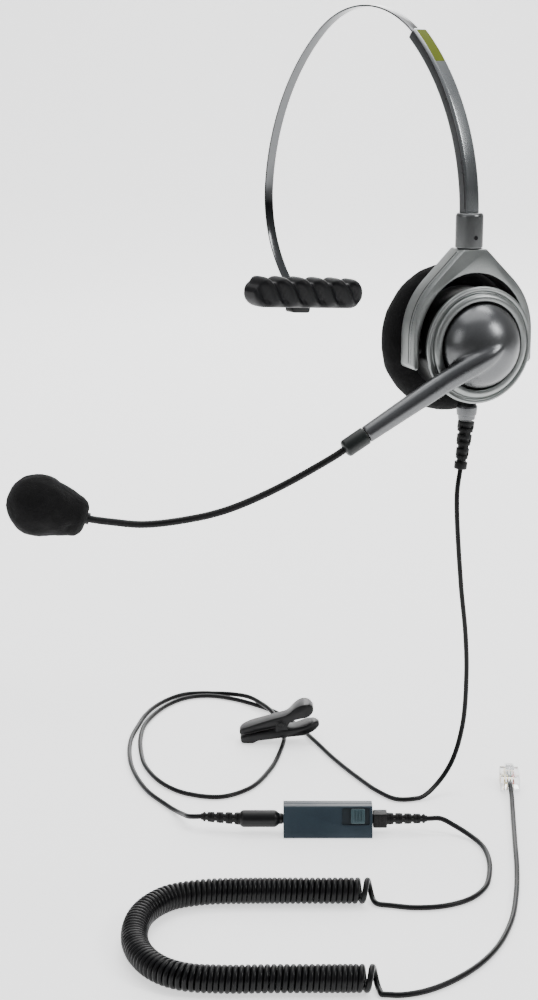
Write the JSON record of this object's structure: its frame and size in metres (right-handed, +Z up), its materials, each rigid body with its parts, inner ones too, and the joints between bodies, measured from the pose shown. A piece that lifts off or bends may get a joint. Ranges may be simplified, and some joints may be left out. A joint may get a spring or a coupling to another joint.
{
  "type": "office headset",
  "caption": "Single-ear office headset with a sprung band, forked ear cup, gooseneck microphone boom, and a lead with clip, in-line control box, curly cord and modular plug.",
  "frame": {"origin": "middle of the headband's crown, on its underside, where it rests on the head", "axes": "+Z up, the wearer faces -Y, +X towards the ear cup"},
  "size_m": [0.2796, 0.2272, 0.3104],
  "materials": {
    "satin_silver": "satin, fine grain",
    "gunmetal": "satin, darker",
    "polished_steel": "polished",
    "steel": "brushed",
    "brass": "plated, bright",
    "lime_label": "satin",
    "black_plastic": "satin, moulded",
    "black_rubber": "matt",
    "black_foam": "open-cell foam",
    "cord_black": "smooth, slightly glossy",
    "slate_plastic": "satin, moulded",
    "teal_plastic": "satin, moulded",
    "green_board": "coated",
    "clear_plastic": "clear, polished"
  },
  "bodies": {
    "ear_cup": {"cup_housing": "black_plastic", "bezel_ring": "satin_silver", "cushion_plate": "black_plastic", "ear_cushion": "black_foam", "speaker_frame": "black_plastic", "speaker_magnet": "steel", "speaker_diaphragm": "clear_plastic", "hub_axle": "steel", "hub_washer": "clear_plastic", "hub_nut": "steel", "pivot_pin_front": "steel", "pivot_pin_rear": "steel", "cable_gland": "satin_silver", "strain_relief": "black_rubber", "headset_cord": "cord_black", "clip_lower_arm": "black_plastic", "clip_pin": "steel", "clip_spring": "steel", "plug_strain_relief": "black_rubber", "plug_body": "black_plastic"},
    "yoke_fork": {"yoke": "satin_silver", "swivel_stem": "steel"},
    "headband": {"headband_sleeve": "satin_silver", "colour_label": "lime_label", "collar": "satin_silver", "collar_screw": "black_plastic"},
    "band": {"headband_spring": "polished_steel", "band_stop": "brass"},
    "temple_pad": {"temple_pad_core": "black_plastic", "temple_pad_grip": "black_rubber", "temple_pad_pin": "steel"},
    "boom": {"hub_dome": "gunmetal", "boom_tube": "satin_silver", "boom_end_sleeve": "black_plastic", "gooseneck_base": "black_rubber"},
    "microphone": {"gooseneck_tip": "black_rubber", "mic_windscreen": "black_foam", "mic_housing": "black_plastic", "mic_element": "steel"},
    "clip_jaw": {"clip_upper_arm": "black_plastic"},
    "control_box": {"box_front_shell": "slate_plastic", "box_rear_shell": "slate_plastic", "box_socket": "brass", "box_board": "green_board", "box_screw": "steel", "box_strain_relief": "black_rubber", "box_cord": "cord_black", "curly_cord": "cord_black", "lead_cord": "cord_black", "rj9_body": "clear_plastic", "rj9_contact_1": "brass", "rj9_contact_2": "brass", "rj9_contact_3": "brass", "rj9_contact_4": "brass"},
    "mute_switch": {"switch_slider": "teal_plastic"},
    "latch": {"rj9_latch": "clear_plastic"}
  },
  "joints": [
    {"name": "cup_tilt", "type": "hinge", "parent": "ear_cup", "child": "yoke_fork", "pos_m": [0.06304, 0.00036, -0.1265], "axis": [0.2402, 0.9707, 0], "range_deg": [-5, 6]},
    {"name": "swivel", "type": "hinge", "parent": "yoke_fork", "child": "headband", "pos_m": [0.0634, 0, -0.09], "axis": [0, 0, 1], "range_deg": [-35, 35]},
    {"name": "size_adjust", "type": "hinge", "parent": "headband", "child": "band", "pos_m": [-0.02526, 0, -0.07842], "axis": [0, -1, 0], "range_deg": [-1.5, 14]},
    {"name": "temple_pad_tilt", "type": "hinge", "parent": "band", "child": "temple_pad", "pos_m": [-0.04432, 0, -0.11947], "axis": [0, 0.9954, -0.0958], "range_deg": [-15, 15]},
    {"name": "boom_turn", "type": "hinge", "parent": "ear_cup", "child": "boom", "pos_m": [0.0645, 0, -0.1265], "axis": [0.9707, -0.2402, 0], "range_deg": [-85, 34]},
    {"name": "gooseneck_flex", "type": "hinge", "parent": "boom", "child": "microphone", "pos_m": [0.041, -0.0998, -0.1832], "axis": [0, 0, 1], "range_deg": [-20, 20]},
    {"name": "clip_open", "type": "hinge", "parent": "ear_cup", "child": "clip_jaw", "pos_m": [-0.01849, -0.02715, -0.30067], "axis": [-0.7965, 0.6046, 0], "range_deg": [0, 12], "stiffness_Nm_per_rad": 0.02, "springref_deg": -20.05},
    {"name": "plug_pull", "type": "slide", "parent": "ear_cup", "child": "control_box", "axis": [0.6046, 0.7965, 0], "range_m": [0, 0.013]},
    {"name": "mute_slide", "type": "slide", "parent": "control_box", "child": "mute_switch", "axis": [0.6046, 0.7965, 0], "range_m": [-0.003, 0]},
    {"name": "latch_press", "type": "hinge", "parent": "control_box", "child": "latch", "pos_m": [0.07341, 0.02034, -0.3028], "axis": [0.6494, 0.7604, 0], "range_deg": [0, 10], "stiffness_Nm_per_rad": 0.002}
  ]
}
